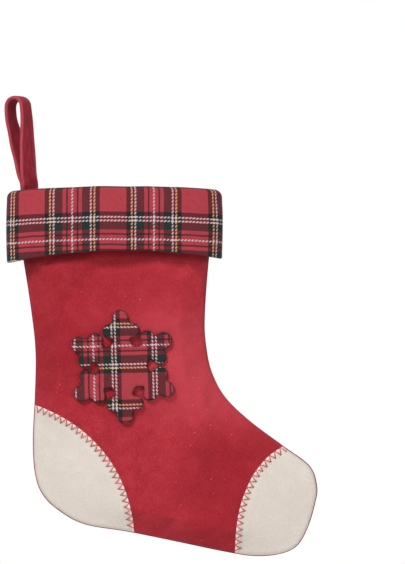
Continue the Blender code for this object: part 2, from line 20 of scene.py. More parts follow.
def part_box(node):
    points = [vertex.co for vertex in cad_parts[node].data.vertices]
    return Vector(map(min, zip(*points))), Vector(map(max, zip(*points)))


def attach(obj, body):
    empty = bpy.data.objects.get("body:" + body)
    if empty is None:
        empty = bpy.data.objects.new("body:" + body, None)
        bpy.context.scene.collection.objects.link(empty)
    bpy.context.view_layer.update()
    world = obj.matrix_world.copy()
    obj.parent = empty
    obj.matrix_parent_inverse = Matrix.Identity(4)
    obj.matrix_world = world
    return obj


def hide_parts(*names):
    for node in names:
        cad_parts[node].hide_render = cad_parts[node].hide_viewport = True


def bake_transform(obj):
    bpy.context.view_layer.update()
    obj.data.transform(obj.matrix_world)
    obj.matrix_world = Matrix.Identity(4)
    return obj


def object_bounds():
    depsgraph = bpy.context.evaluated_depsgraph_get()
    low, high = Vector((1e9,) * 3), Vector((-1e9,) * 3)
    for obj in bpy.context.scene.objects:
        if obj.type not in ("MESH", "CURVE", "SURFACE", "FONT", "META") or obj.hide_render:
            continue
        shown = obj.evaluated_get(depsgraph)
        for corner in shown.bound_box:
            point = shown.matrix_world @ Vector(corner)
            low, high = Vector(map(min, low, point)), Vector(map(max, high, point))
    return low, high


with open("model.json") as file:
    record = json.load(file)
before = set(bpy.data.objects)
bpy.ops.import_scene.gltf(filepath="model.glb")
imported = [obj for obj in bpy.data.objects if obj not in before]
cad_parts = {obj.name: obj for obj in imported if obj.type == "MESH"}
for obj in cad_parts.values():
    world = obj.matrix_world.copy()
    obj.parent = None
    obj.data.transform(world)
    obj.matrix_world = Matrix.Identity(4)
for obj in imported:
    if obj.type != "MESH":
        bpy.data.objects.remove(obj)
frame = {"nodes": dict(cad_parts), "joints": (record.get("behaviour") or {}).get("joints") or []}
CAD_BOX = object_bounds()
MM = 0.001


def box_mm(name):
    """A CAD node's lowest and highest corners, in millimetres."""
    low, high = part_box(name)
    return Vector(low) / MM, Vector(high) / MM


# ---- driving dimensions, in millimetres ----
FELT = 1.2  # red felt
PATCH_FELT = 0.9  # cream felt
SEAM_ROLL = 1.3  # radius of the turned seam's rounded edge
SEAM_HALF_GAP = 0.15  # each side of the pouch stops this far from y = 0
THIN = 0.08  # a felt edge pressed flat
SINK = 0.12  # a sewn-on piece beds into the felt below it
BACK_PEEP = 0.45  # the back panel shows this far round the front one
PANEL_STEP = 1.5  # mesh spacing on the panels
RIM_STEP = 1.2
SEAM_RINGS = (0.12, 0.4, 0.8, 1.4, 2.3)
CLOTH_STEP = 2.6  # mesh spacing of the simulated pouch
CLOTH_SCALE = 10.0  # the pouch is simulated ten times larger
CLOTH_FRAMES = 26
# The negative shrink is spare cloth, for soft creases; the pressure opens the pouch.
CLOTH_SETTINGS = {"vertex_group_mass": "held", "quality": 6, "mass": 0.3,
                  "tension_stiffness": 14, "compression_stiffness": 14, "shear_stiffness": 7,
                  "bending_stiffness": 1.5, "air_damping": 5, "shrink_min": -0.014,
                  "use_pressure": True, "uniform_pressure_force": 0.05}
COVERED = 6.0  # above the cuff's hem by this much, the cuff holds the cloth
FLAT_RISE = 6.8  # the empty foot and leg lie this much flatter than a full one
FLAT_ROLL = 8.0
PANEL_DROP = 3.6  # the panels stop this far below the cuff's top

# The seam line of leg and foot, from the mouth's rear corner round to its front one.
LEG_OUTLINE = [
    (-2.5, -48.9), (3.4, -80.0), (7.7, -108.0), (9.5, -127.0), (9.1, -148.0),
    (8.1, -170.0), (9.1, -186.0), (12.4, -196.0), (20.0, -204.0), (33.4, -211.4),
    (56.0, -215.3), (80.0, -220.2), (103.0, -225.0), (118.0, -227.3), (130.6, -226.4),
    (139.4, -222.4), (144.8, -213.2), (148.5, -201.0), (149.4, -193.0),
    (145.8, -183.0), (132.6, -173.0), (115.5, -160.2), (103.3, -148.2),
    (96.7, -135.6), (94.0, -123.0), (93.2, -109.0), (95.1, -81.0), (99.0, -48.0),
]
HEEL_CENTRE = (-10.6, -218.3)
HEEL_RADIUS = 69.0
HEEL_SWEEP = (radians(77), radians(-3))
TOE_EDGE = [
    (137.0, -170.2), (125.6, -177.4), (118.4, -185.6), (114.0, -194.3),
    (111.0, -203.2), (109.2, -214.5), (108.5, -230.0),
]
TOE_EDGE_PLACES, TOE_EDGE_HEIGHTS = zip(*TOE_EDGE[::-1])
IRONING = 40  # smoothing passes over the doubled felt
DOUBLED_EASE = 6.0  # the doubled felt's stiffness builds up over this width
ZIGZAG_PITCH = 3.3
ZIGZAG_WIDTH = 3.3
ZIGZAG_OUTSIDE = 0.35  # the outer needle points fall this far off the patch
SCALLOP = 0.2  # how far each stitch pulls the patch's edge in
THREAD_RADIUS = 0.25
NEEDLE_JITTER = 0.3
# One stitch: share of its length, and height over the felt in thread radii.
STITCH_SHAPE = ((0.0, -2.2), (0.08, 0.1), (0.2, 0.7), (0.5, 0.95), (0.8, 0.7), (0.92, 0.1))
PATCH_RINGS = (0.25, 0.6, 1.1, 1.8, 2.6, 3.4, 4.3)
DIMPLE_DEPTH = 0.45
DIMPLE_RADIUS = 0.75
HOLE_RADIUS = 0.5

FLAKE_CENTRE = (53.0, -133.0)
FLAKE_LEAN = radians(3)
FLAKE_RADIUS = 28.5
FLAKE_BAR = 8.2
FLAKE_HUB = 11.8
CROSSBAR_RADIUS = 18.0
CROSSBAR_HALF = 9.4
CROSSBAR_WIDTH = 7.3
FLAKE_BACKING = 1.7
FLAKE_FACE = 0.9
FLAKE_FILLET = 0.9
FLAKE_ROOT = (0.2, 1.6)  # the hub runs into each bar between these
FLAKE_RINGS = (0.2, 0.55, 1.0)

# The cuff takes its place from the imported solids.
CUFF_LOW, CUFF_HIGH = box_mm("cuff_front")
CUFF_MIDDLE = (CUFF_LOW.x + CUFF_HIGH.x) / 2
CUFF_HALF_WIDTH = (CUFF_HIGH.x - CUFF_LOW.x) / 2
CUFF_FULLER = 0.6
CUFF_FRONT = CUFF_FULLER - CUFF_LOW.y
CUFF_REAR = box_mm("cuff_back")[1].y
CUFF_REAR_SWELL = 1.25
CUFF_TOP = CUFF_HIGH.z
CUFF_ARCH_MIDDLE = 54.0
CUFF_TOP_DROP = 1.9
CUFF_BOTTOM = -75.0
CUFF_BOTTOM_DROP = 5.1
CUFF_CORNER = 4.0
CUFF_WALL = 1.5
FACING = 0.8
FACING_DEPTH = 11.0
FACING_GAP = 0.3
FACING_MARGIN = 0.9  # the facing stops this far from the seams
FACING_FOLD = 0.8
FOLD_DEPTH = 2.4  # height of the rounded fold over the mouth
TOP_CORNER = 1.6  # radius of the rounded top corners
CUFF_STATIONS = 120
CUFF_SWELL = 0.9  # the wall bellies this far between its edges
HEM_FLARE = -0.1

# The tape bends at the hinge.
HINGE = Vector(frame["joints"][0]["pos_m"]) / MM
TAPE_WIDTH = 8.7
# How the two strands stand from the hook down: height, sideways place of their
# middle, turn about the vertical in degrees, and spacing between their centrelines.
STRANDS = [(2.0, -0.1, 57.0, 8.8), (-7.7, 0.6, 55.0, 9.9), (-15.0, 1.6, 46.0, 9.5),
           (-22.6, 2.5, 37.5, 8.7), (-30.0, 3.7, 31.0, 6.9), (-37.5, 4.8, 27.0, 4.4),
           (-42.3, 5.92, 27.0, 2.3), (-49.0, 5.92, 0.0, 2.1), (-60.0, 5.92, 0.0, 2.1)]
TAPE = 1.9
TAPE_AROUND = 20
TAPE_ROUNDNESS = 0.55  # 1 would be an oval, 0 a sharp rectangle
TAIL_DEPTH = 12.5

THREAD_COUNT = 0.44  # one thread of the tartan
TARTAN_MIDDLE = 48.25  # x where a red square is centred on the cuff's front
TARTAN_SHIFT = 20.24  # half a repeat of the tartan
TARTAN_DROP = 26.4  # a white line lies this far below the cuff's top
WANDER = 0.9  # how many threads the yarns stray from straight lines
BLUR = 0.75  # how far the twill's dull yarns blur together
FLAKE_CLOTH_CENTRE = (38.3, -122.75)
FLAKE_CLOTH_LEAN = radians(1.5)
FLAKE_STRETCH = 40.48 / 40.3  # the snowflake's cloth is drawn a little tighter

# Light and camera, in metres and watts.
LAMPS = {"key": ((-0.6, -1.05, 1.1), 0.4, 17.4),  # place, size and power
         "fill": ((1.1, -1.1, -0.25), 0.9, 6.5),
         "rear": ((0.2, 1.2, 0.8), 0.9, 6.0)}
WORLD_LIGHT = 0.35
FLOOR_RADIUS = 2.0
FLOOR_DEPTH = 0.45  # below the point the camera aims at
CAMERA_DISTANCE = 1.5
PICTURE_HEIGHT = 0.282
CAMERA_AIM = (0.0925, 0.0, -0.09075)


# ---- curves and plans ----
def smooth_curve(points, step):
    """Points about `step` apart on a Catmull-Rom curve through `points`."""
    padded = [points[0]] + list(points) + [points[-1]]
    curve = []
    for p0, p1, p2, p3 in zip(padded, padded[1:], padded[2:], padded[3:]):
        spans = max(1, round(math.dist(p1, p2) / step))
        for i in range(spans):
            t = i / spans
            curve.append(tuple(
                0.5 * (2 * b + (c - a) * t + (2 * a - 5 * b + 4 * c - d) * t * t
                       + (3 * b - a - 3 * c + d) * t ** 3)
                for a, b, c, d in zip(p0, p1, p2, p3)))
    curve.append(tuple(points[-1]))
    return curve


def resample(line, step):
    """A polyline again, as points at even distances."""
    line = np.array(line, float)
    along = np.concatenate([[0], np.cumsum(norm(np.diff(line, axis=0), axis=1))])
    count = max(2, round(along[-1] / step) + 1)
    want = np.linspace(0, along[-1], count)
    return [tuple(p) for p in np.stack(
        [np.interp(want, along, line[:, k]) for k in range(line.shape[1])], axis=1)]


def arc(centre, radius, start, end, step):
    spans = max(2, round(radius * abs(end - start) / step))
    return [(centre[0] + radius * cos(start + (end - start) * i / spans),
             centre[1] + radius * sin(start + (end - start) * i / spans))
            for i in range(spans + 1)]


def wave(place, size=1.0):
    """Smooth noise, from -1 to 1."""
    return noise.noise(Vector(place) / size)


def smoothstep(t):
    t = np.clip(t, 0, 1)
    return t * t * (3 - 2 * t)


def directions(line, closed=False):
    """A line's unit direction at each of its points."""
    if closed:
        along = np.roll(line, -1, 0) - np.roll(line, 1, 0)
    else:
        along = np.gradient(line, axis=0)
    return along / norm(along, axis=1)[:, None]


def offset_line(line, amount, closed=False):
    """A line moved to its left by one amount or one for each point, +X right and +Z up."""
    points = np.array(line, float)
    along = directions(points, closed)
    return points + np.stack([-along[:, 1], along[:, 0]], 1) * np.reshape(amount, (-1, 1))


def distances(points, line):
    """Each point's shortest distance to a polyline."""
    points = np.array(points, float).reshape(-1, 2)
    a = np.array(line[:-1], float)
    u = np.array(line[1:], float) - a
    squares = (u * u).sum(1)
    found = np.empty(len(points))
    for first in range(0, len(points), 1000):
        away = points[first:first + 1000, None, :] - a[None]
        t = np.clip((away * u).sum(2) / squares, 0, 1)
        found[first:first + 1000] = np.sqrt(((away - t[..., None] * u) ** 2).sum(2)).min(1)
    return found


def inside(points, polygon):
    """Which points lie in a polygon."""
    points = np.array(points, float).reshape(-1, 2)
    hits = np.zeros(len(points), bool)
    for (ax, az), (bx, bz) in zip(polygon, list(polygon[1:]) + [polygon[0]]):
        if az == bz:
            continue
        spans = (az > points[:, 1]) != (bz > points[:, 1])
        hits ^= spans & (points[:, 0] < ax + (bx - ax) * (points[:, 1] - az) / (bz - az))
    return hits


def lattice(polygon, step):
    """A triangular lattice of points over a polygon's box."""
    low, high = np.min(polygon, axis=0), np.max(polygon, axis=0)
    row_step = step * math.sqrt(3) / 2
    return [(low[0] + (column + 0.5 * (row % 2)) * step, low[1] + row * row_step)
            for row in range(int((high[1] - low[1]) / row_step) + 2)
            for column in range(int((high[0] - low[0]) / step) + 2)]


def triangulate(polygon, step, clearance, extra=()):
    """Even triangles over a polygon, with extra points of its own: (points, faces)."""
    border = list(polygon) + [polygon[0]]
    free = np.array(lattice(polygon, step))
    free = free[inside(free, polygon)]
    free = free[distances(free, border) > clearance]
    if len(extra):
        extra = np.array(extra)
        extra = extra[inside(extra, polygon)]
        extra = extra[distances(extra, border) > 0.08]
        gaps = np.array([np.hypot(*(extra - p).T).min() for p in free])
        free = np.concatenate([free[gaps > 0.5 * step], extra])
    points = [Vector(p) for p in polygon] + [Vector(p) for p in free]
    found = delaunay_2d_cdt(points, [], [list(range(len(polygon)))], 1, 1e-4)
    return np.array([tuple(p) for p in found[0]]), [tuple(f) for f in found[2]]


# ---- meshes ----
def add_object(name, data):
    holder = bpy.data.objects.new(name, data)
    bpy.context.scene.collection.objects.link(holder)
    return holder


def add_piece(name, vertices, faces, slot, body="stocking", cloth=None, smooth=40, **marks):
    """One piece of the looks, riding on a body.  Vertices are in millimetres.

    `cloth` is each vertex's place on the flat cloth, and each mark a number from 0
    to 1 that the materials read.
    """
    mesh = bpy.data.meshes.new(name)
    mesh.from_pydata([Vector(v) * MM for v in vertices], [], faces)
    tidy = bmesh.new()
    tidy.from_mesh(mesh)
    bmesh.ops.recalc_face_normals(tidy, faces=tidy.faces)
    tidy.to_mesh(mesh)
    tidy.free()
    mesh.shade_smooth()
    mesh.set_sharp_from_angle(angle=radians(smooth))
    if cloth is not None:
        flat = np.zeros((len(vertices), 3), np.float32)
        cloth = np.array(cloth, np.float32) * MM
        flat[:, :cloth.shape[1]] = cloth
        laid = mesh.attributes.new("cloth", "FLOAT_VECTOR", "POINT")
        laid.data.foreach_set("vector", flat.ravel())
    for mark, values in marks.items():
        mesh.attributes.new(mark, "FLOAT", "POINT").data.foreach_set(
            "value", np.array(values, np.float32))
    piece = add_object(name, mesh)
    if body:
        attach(piece, body)
    return piece


def slab(points, faces, near, far, side):
    """A closed layer over a plan, between two heights off the seam plane."""
    count = len(points)
    vertices = [(x, side * y, z) for (x, z), y in zip(points, near)]
    vertices += [(x, side * y, z) for (x, z), y in zip(points, far)]
    solid = list(faces) + [tuple(i + count for i in reversed(face)) for face in faces]
    sides = {(a, b) for face in faces for a, b in zip(face, face[1:] + face[:1])}
    solid += [(b, a, a + count, b + count) for a, b in sorted(sides) if (b, a) not in sides]
    return vertices, solid


def tube(sections, closed=False):
    """A solid through matching cross-sections, capped unless closed on itself."""
    around = len(sections[0])
    vertices = [tuple(p) for section in sections for p in section]
    faces = []
    spans = len(sections) if closed else len(sections) - 1
    for i in range(spans):
        a, b = i * around, (i + 1) % len(sections) * around
        faces += [(a + j, a + (j + 1) % around, b + (j + 1) % around, b + j)
                  for j in range(around)]
    if not closed:
        last = (len(sections) - 1) * around
        faces.append(tuple(range(around)))
        faces.append(tuple(range(last + around - 1, last - 1, -1)))
    return vertices, faces


def twisted_thread(path, radius, lay=1.1, plies=2, around=8):
    """A sewing thread of twisted plies along a path in space."""
    path = np.array(resample(path, radius * 1.3))
    sections = []
    travelled = 0.0
    for i, (centre, forward) in enumerate(zip(path, directions(path))):
        if i:
            travelled += norm(path[i] - path[i - 1])
        across = np.cross(forward, (0.0, 1.0, 0.0))
        if norm(across) < 0.2:
            across = np.cross(forward, (1.0, 0.0, 0.0))
        across /= norm(across)
        up = np.cross(across, forward)
        twist = tau * travelled / (lay * plies)
        ring = []
        for k in range(around):
            turn = tau * k / around
            reach = radius * (0.84 + 0.2 * abs(cos(plies / 2 * (turn - twist))))
            ring.append(centre + (across * cos(turn) + up * sin(turn)) * reach)
        sections.append(ring)
    return tube(sections)


# ---- shape of the pouch ----
def cuff_arch(x, height, drop):
    return height - drop * ((x - CUFF_ARCH_MIDDLE) / CUFF_HALF_WIDTH) ** 2


def cuff_top(x):
    return cuff_arch(x, CUFF_TOP, CUFF_TOP_DROP)


def cuff_bottom(x):
    return cuff_arch(x, CUFF_BOTTOM, CUFF_BOTTOM_DROP)


SEAM_CURVE = smooth_curve(LEG_OUTLINE, 0.4)
SEAM_LINE = resample(SEAM_CURVE, RIM_STEP)


def mouth_line(outline, step):
    """The panels' top edge, from the front corner back to the rear one."""
    count = round((outline[-1][0] - outline[0][0]) / step)
    xs = np.linspace(outline[-1][0], outline[0][0], count + 1)[1:-1]
    return [(x, cuff_top(x) - PANEL_DROP) for x in xs]


def search_tree(vertices, faces):
    return BVHTree.FromPolygons([tuple(v) for v in vertices], faces)


def lift(tree, plan, side):
    """How far off the seam plane a surface's outer face lies over each plan point."""
    found = []
    for x, z in plan:
        hit = tree.ray_cast(Vector((x, side * 60, z)), Vector((0, -side, 0)))[0]
        found.append(max(0.0, side * hit.y) if hit else 0.0)
    return np.array(found)


def start_shape(name, side):
    """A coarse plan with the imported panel's own relief: points, faces, heights."""
    outline = resample(SEAM_CURVE, CLOTH_STEP)
    polygon = outline + mouth_line(outline, CLOTH_STEP)
    points, faces = triangulate(polygon, CLOTH_STEP, 0.55 * CLOTH_STEP)
    packed = frame["nodes"][name].data
    tree = search_tree([v.co / MM for v in packed.vertices],
                       [tuple(p.vertices) for p in packed.polygons])
    rise = np.maximum(0.0, lift(tree, points, side) - FELT - SEAM_HALF_GAP)
    pressed = FLAT_RISE * (1 - (1 - np.clip(distances(points, outline) / FLAT_ROLL, 0, 1)) ** 2)
    below = smoothstep((cuff_bottom(points[:, 0]) + COVERED - points[:, 1]) / COVERED)
    rise += below * (np.minimum(rise, pressed) - rise)
    rim = distances(points, polygon + [polygon[0]]) < 0.2
    rim |= points[:, 1] > cuff_bottom(points[:, 0]) + COVERED
    for i, (x, z) in enumerate(points):
        if not rim[i]:
            ripple = wave((x, z, side * 40), 17)
            rise[i] = max(0.0, rise[i] + 0.8 * ripple * min(1, rise[i] / 5))
    return points, faces, rise, rim


def drape(points, faces, rise, rim, side):
    """Lets the spare cloth settle between the sewn edges, and gives its heights back."""
    size = MM * CLOTH_SCALE
    mesh = bpy.data.meshes.new("drape")
    mesh.from_pydata([Vector((x, side * y, z)) * size for (x, z), y in zip(points, rise)], [],
                     [f if side < 0 else f[::-1] for f in faces])
    sheet = add_object("drape", mesh)
    sheet.vertex_groups.new(name="held").add([int(i) for i in np.nonzero(rim)[0]], 1, "REPLACE")
    cloth = sheet.modifiers.new("cloth", "CLOTH")
    for key, value in CLOTH_SETTINGS.items():
        setattr(cloth.settings, key, value)
    cloth.settings.effector_weights.gravity = 0
    cloth.collision_settings.use_collision = False
    cloth.point_cache.frame_end = CLOTH_FRAMES
    for moment in range(1, CLOTH_FRAMES + 1):
        bpy.context.scene.frame_set(moment)
    settled = sheet.evaluated_get(bpy.context.evaluated_depsgraph_get())
    moved = [v.co / size for v in settled.data.vertices]
    bpy.data.objects.remove(sheet)
    bpy.context.scene.frame_set(1)
    return moved


def smoothed(points, faces, moved, stiff):
    """Irons the creases out of the cloth where it is stiff, from 0 to 1 at each point."""
    ends = np.array([(f[k], f[k - 1]) for f in faces for k in range(len(f))])
    count = np.bincount(ends.ravel(), minlength=len(points))
    heights = np.array([v[1] for v in moved])
    for _ in range(IRONING):
        total = np.zeros(len(points))
        np.add.at(total, ends[:, 0], heights[ends[:, 1]])
        np.add.at(total, ends[:, 1], heights[ends[:, 0]])
        heights += stiff * (total / count - heights)
    return [(v[0], y, v[2]) for v, y in zip(moved, heights)]


def pouch_side(name, side):
    """The settled surface of one side of the pouch, as a search tree."""
    points, faces, rise, rim = start_shape(name, side)
    moved = drape(points, faces, rise, rim, side)
    # The heel and toe patches double the felt, so it lies smoother there.
    toe = np.array([np.interp(z, TOE_EDGE_HEIGHTS, TOE_EDGE_PLACES) for z in points[:, 1]])
    heel = np.hypot(*(points - np.array(HEEL_CENTRE)).T)
    doubled = np.maximum(smoothstep((points[:, 0] - toe) / DOUBLED_EASE),
                         smoothstep((HEEL_RADIUS - heel) / DOUBLED_EASE))
    doubled *= (side < 0) * ~rim
    moved = smoothed(points, faces, moved, doubled)
    return search_tree(moved, faces)


FRONT_DRAPE = pouch_side("front_panel", -1)
BACK_DRAPE = pouch_side("back_panel", 1)


def rounded(distance, radius):
    """A quarter-round profile: 0 at an edge, 1 from `radius` inwards."""
    return np.sqrt(1 - (1 - np.clip(distance / radius, 0, 1)) ** 2)


def felt_skin(tree, plan, outline, side):
    """Inner and outer heights of the red felt over a plan."""
    near = lift(tree, plan, side) + SEAM_HALF_GAP
    edge = rounded(distances(plan, outline), SEAM_ROLL)
    return near, near + THIN + (FELT - THIN) * edge


def add_panel(name, tree, side, outline, slot):
    polygon = outline + mouth_line(outline, RIM_STEP)
    rings = [p for amount in SEAM_RINGS for p in offset_line(outline, amount)]
    points, faces = triangulate(polygon, PANEL_STEP, SEAM_RINGS[-1] + 0.4 * PANEL_STEP, rings)
    near, far = felt_skin(tree, points, outline, side)
    vertices, solid = slab(points, faces, near, far, side)
    # Each point's distance below the cuff's hem, read by the painted shadow under it.
    below_hem = cuff_bottom(points[:, 0]) - points[:, 1]
    piece = add_piece(name, vertices, solid, slot, hem=np.tile(below_hem, 2))
    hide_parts(name.replace("felt", "panel"))
    return piece, polygon, search_tree(vertices, solid)


# ---- cream patches and their stitches ----
HEEL_EDGE = arc(HEEL_CENTRE, HEEL_RADIUS, *HEEL_SWEEP, 0.3)
TOE_CURVE = resample(smooth_curve(TOE_EDGE, 0.4), 0.3)[::-1]
FAR_TOE = [(200.0, -170.2), (200.0, -230.0)]


def needle_points(line):
    """The zigzag's points in the order sewn; the patch lies to the line's right."""
    base = np.array(resample(line, ZIGZAG_PITCH / 2))
    reach = np.where(np.arange(len(base)) % 2, -ZIGZAG_OUTSIDE, ZIGZAG_WIDTH - ZIGZAG_OUTSIDE)
    jitter = np.array([wave(Vector((x, z, 5.0)) * 1.7) for x, z in base])
    points = offset_line(base, -reach - NEEDLE_JITTER * jitter)
    keep = inside(points, SEAM_LINE) & (distances(points, SEAM_LINE) > 0.5)
    return list(map(tuple, points[keep]))


def scalloped(line):
    """The patch's free edge, pulled in where each outer needle point holds it."""
    base = np.array(resample(line, 0.3))
    spans = len(resample(line, ZIGZAG_PITCH / 2)) - 1
    phase = pi * spans * np.arange(len(base)) / (len(base) - 1)
    return offset_line(base, -SCALLOP * ((1 - np.cos(phase)) / 2) ** 2)


def patch_outline(line, on_patch):
    """The seam's part on the patch's side, then the free edge back to its start."""
    seam = np.array(resample(SEAM_CURVE, 0.2))
    sewn = resample(seam[on_patch(seam)], RIM_STEP)
    free = scalloped(line)
    free = free[inside(free, SEAM_LINE) & (distances(free, SEAM_LINE) > 0.25)]
    if math.dist(sewn[-1], free[0]) > math.dist(sewn[-1], free[-1]):
        free = free[::-1]
    return sewn, list(map(tuple, free))


def add_patch(name, line, on_patch):
    """One cream patch lying on the red felt, dimpled where its stitches go in."""
    sewn, free = patch_outline(line, on_patch)
    polygon = sewn + free
    needles = needle_points(line)
    holes = [p for p in needles if on_patch(np.array([p]))[0]]
    rims = [(x + 0.45 * cos(k), z + 0.45 * sin(k)) for x, z in holes for k in range(6)]
    seam_rings = [p for amount in SEAM_RINGS[1:] for p in offset_line(sewn, amount)]
    edge_rings = [p for amount in PATCH_RINGS for p in resample(offset_line(free, amount), 0.9)]
    points, faces = triangulate(polygon, PANEL_STEP, 0.4, holes + rims + seam_rings + edge_rings)
    _, red = felt_skin(FRONT_DRAPE, points, SEAM_LINE, -1)
    cut = distances(points, free)
    thick = PATCH_FELT * rounded(distances(points, SEAM_LINE) + 0.1, 1.6)
    thick *= 0.45 + 0.55 * rounded(cut, 0.7)
    gaps = np.full(len(points), 9.0)
    for x, z in holes:
        gaps = np.minimum(gaps, np.hypot(points[:, 0] - x, points[:, 1] - z))
    thick -= DIMPLE_DEPTH * np.exp(-(gaps / DIMPLE_RADIUS) ** 2) * (cut > 0.3)
    vertices, solid = slab(points, faces, red - SINK, red + np.maximum(thick, 0.05), -1)
    # Each needle hole's mark, for the thread going in and the painted shade there.
    hole = np.exp(-(gaps / HOLE_RADIUS) ** 2)
    # The rim mark carries the painted highlight along the cut edge.
    piece = add_piece(name, vertices, solid, "cream_felt", needle=np.tile(hole, 2),
                      rim=np.tile(1 - np.clip(cut / 1.6, 0, 1), 2))
    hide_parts(name.replace("felt", "patch"))
    return piece, polygon, needles, search_tree(vertices, solid)


def surface_y(trees, x, z):
    """The frontmost surface's y over a plan point."""
    hits = [tree.ray_cast(Vector((x, -60, z)), Vector((0, 1, 0)))[0] for tree in trees]
    return min([hit.y for hit in hits if hit] or [0.0])


def add_stitches(name, needles, trees):
    """A zigzag of twisted thread that dives into the felt at each needle point."""
    path = []
    for a, b in zip(needles, needles[1:]):
        if math.dist(a, b) > 2 * ZIGZAG_WIDTH:
            continue
        for t, rise in STITCH_SHAPE:
            x, z = a[0] + (b[0] - a[0]) * t, a[1] + (b[1] - a[1]) * t
            path.append((x, surface_y(trees, x, z) - rise * THREAD_RADIUS, z))
    path.append((b[0], surface_y(trees, *b) - STITCH_SHAPE[0][1] * THREAD_RADIUS, b[1]))
    piece = add_piece(name, *twisted_thread(smooth_curve(path, 0.3), THREAD_RADIUS), "red_thread")
    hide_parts(name.replace("thread", "zigzag_stitches"))
    return piece


# ---- snowflake ----
def flake_arm():
    """One arm's outline as (along, across), from one valley to the next tip and back."""
    bar = FLAKE_BAR / 2
    end = CROSSBAR_WIDTH / 2
    valley = radians(30)
    half = [(FLAKE_HUB * cos(valley), -FLAKE_HUB * sin(valley)),
            (FLAKE_HUB + FLAKE_ROOT[0], -bar - FLAKE_FILLET),
            (FLAKE_HUB + FLAKE_ROOT[1], -bar),
            (CROSSBAR_RADIUS - end - FLAKE_FILLET, -bar),
            (CROSSBAR_RADIUS - end, -bar - FLAKE_FILLET)]
    half += arc((CROSSBAR_RADIUS, end - CROSSBAR_HALF), end, pi, pi * 2, 1.2)
    half += [(CROSSBAR_RADIUS + end, -bar - FLAKE_FILLET),
             (CROSSBAR_RADIUS + end + FLAKE_FILLET, -bar)]
    half += arc((FLAKE_RADIUS - bar, 0.0), bar, -pi / 2, 0.0, 1.2)
    return half + [(along, -across) for along, across in reversed(half[1:-1])]


def flake_outline():
    """Six arms round the middle, as (x, z), with the corners softened."""
    points = []
    for arm in range(6):
        turn = radians(90 + 60 * arm) + FLAKE_LEAN
        for along, across in flake_arm():
            points.append((FLAKE_CENTRE[0] + along * cos(turn) - across * sin(turn),
                           FLAKE_CENTRE[1] + along * sin(turn) + across * cos(turn)))
    line = np.array(resample(points + [points[0]], 0.55))[:-1]
    for _ in range(2):
        line = (np.roll(line, 1, 0) + 2 * line + np.roll(line, -1, 0)) / 4
    return list(map(tuple, line))


def flake_cloth(points):
    """Tartan coordinates: the snowflake is cut with the cloth turned a quarter round."""
    away = points - np.array(FLAKE_CLOTH_CENTRE)
    c, s = cos(FLAKE_CLOTH_LEAN), sin(FLAKE_CLOTH_LEAN)
    across = away[:, 0] * c + away[:, 1] * s
    up = away[:, 1] * c - away[:, 0] * s
    return np.stack([up * FLAKE_STRETCH, across * FLAKE_STRETCH], 1)


def add_snowflake():
    """Tartan drawn over a thicker felt snowflake, with soft edges."""
    outline = flake_outline()
    closed = outline + [outline[0]]
    rings = [p for amount in FLAKE_RINGS for p in offset_line(outline, amount, True)]
    rings = [p for p, gap in zip(rings, distances(rings, closed)) if gap > 0.15]
    points, faces = triangulate(outline, 0.9, 0.3, rings)
    edge = distances(points, closed)
    _, base = felt_skin(FRONT_DRAPE, points, SEAM_LINE, -1)
    padding = FLAKE_BACKING * rounded(edge - 0.4, 0.9)
    soft = np.array([wave((x, z, 9.0), 6) for x, z in points])
    top = base + 0.3 + (FLAKE_BACKING + FLAKE_FACE - 0.3) * rounded(edge, 1.2) + 0.12 * soft
    bond = base + THIN + padding
    backing = add_piece("snowflake_felt", *slab(points, faces, base - SINK, bond, -1),
                        "backing_felt")
    vertices, solid = slab(points, faces, bond, top, -1)
    # The rim mark carries the darkening along the snowflake's edge, partly painted shade.
    cloth = add_piece("snowflake_tartan", vertices, solid, "tartan",
                      cloth=np.tile(flake_cloth(points), (2, 1)),
                      rim=np.tile(1 - rounded(edge, 1.3), 2))
    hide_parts("snowflake_backing")
    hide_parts("snowflake_face")
    return backing, cloth, outline


# ---- cuff ----
def cuff_spread(count):
    """Stations round one half of the cuff: across from -1 to 1, and how deep."""
    turn = pi * (1 - np.linspace(0, 1, count))
    power = 2 / CUFF_CORNER
    across = np.sign(np.cos(turn)) * np.abs(np.cos(turn)) ** power
    return across, np.abs(np.sin(turn)) ** power


def even_stations(side):
    """The superellipse's stations again, at even distances round the outer line."""
    across, deep = cuff_spread(3001)
    x, y = CUFF_MIDDLE + CUFF_HALF_WIDTH * across, CUFF_FRONT * deep
    if side > 0:
        y = np.minimum(CUFF_REAR, CUFF_REAR * CUFF_REAR_SWELL * deep)
    along = np.concatenate([[0], np.cumsum(np.hypot(np.diff(x), np.diff(y)))])
    want = np.linspace(0, along[-1], CUFF_STATIONS + 1)
    pick = [np.interp(want, along, values) for values in (across, deep, x, y)]
    middle = np.interp(TARTAN_MIDDLE, x, along)
    return pick, want - middle


def inset(line, side, amount):
    """A plan line moved towards the cuff's inside."""
    along = np.gradient(line, axis=0)
    along[0], along[-1] = (0, side), (0, -side)
    along /= norm(along, axis=1)[:, None]
    return line + side * np.stack([along[:, 1], -along[:, 0]], 1) * amount


def leg_sides(z):
    """The seam line's x at the rear and the front of the leg, at height z."""
    crossings = [a[0] + (b[0] - a[0]) * (z - a[1]) / (b[1] - a[1])
                 for a, b in zip(SEAM_LINE, SEAM_LINE[1:]) if (a[1] > z) != (b[1] > z)]
    return min(crossings), max(crossings)


def mouth_plan(tree, across, deep, side):
    """The narrowest line of a panel's inner face behind the facing."""
    low, high = leg_sides(cuff_top(CUFF_MIDDLE) - FACING_DEPTH)
    low, high = low + FACING_MARGIN, high - FACING_MARGIN
    x = (low + high) / 2 + (high - low) / 2 * across
    rises = [lift(tree, [(a, cuff_top(a) - depth) for a in x], side)
             for depth in (PANEL_DROP + 0.4, 6.0, 8.5, FACING_DEPTH)]
    return np.stack([x, side * (np.min(rises, axis=0) * (deep > 0.01) + SEAM_HALF_GAP)], 1)


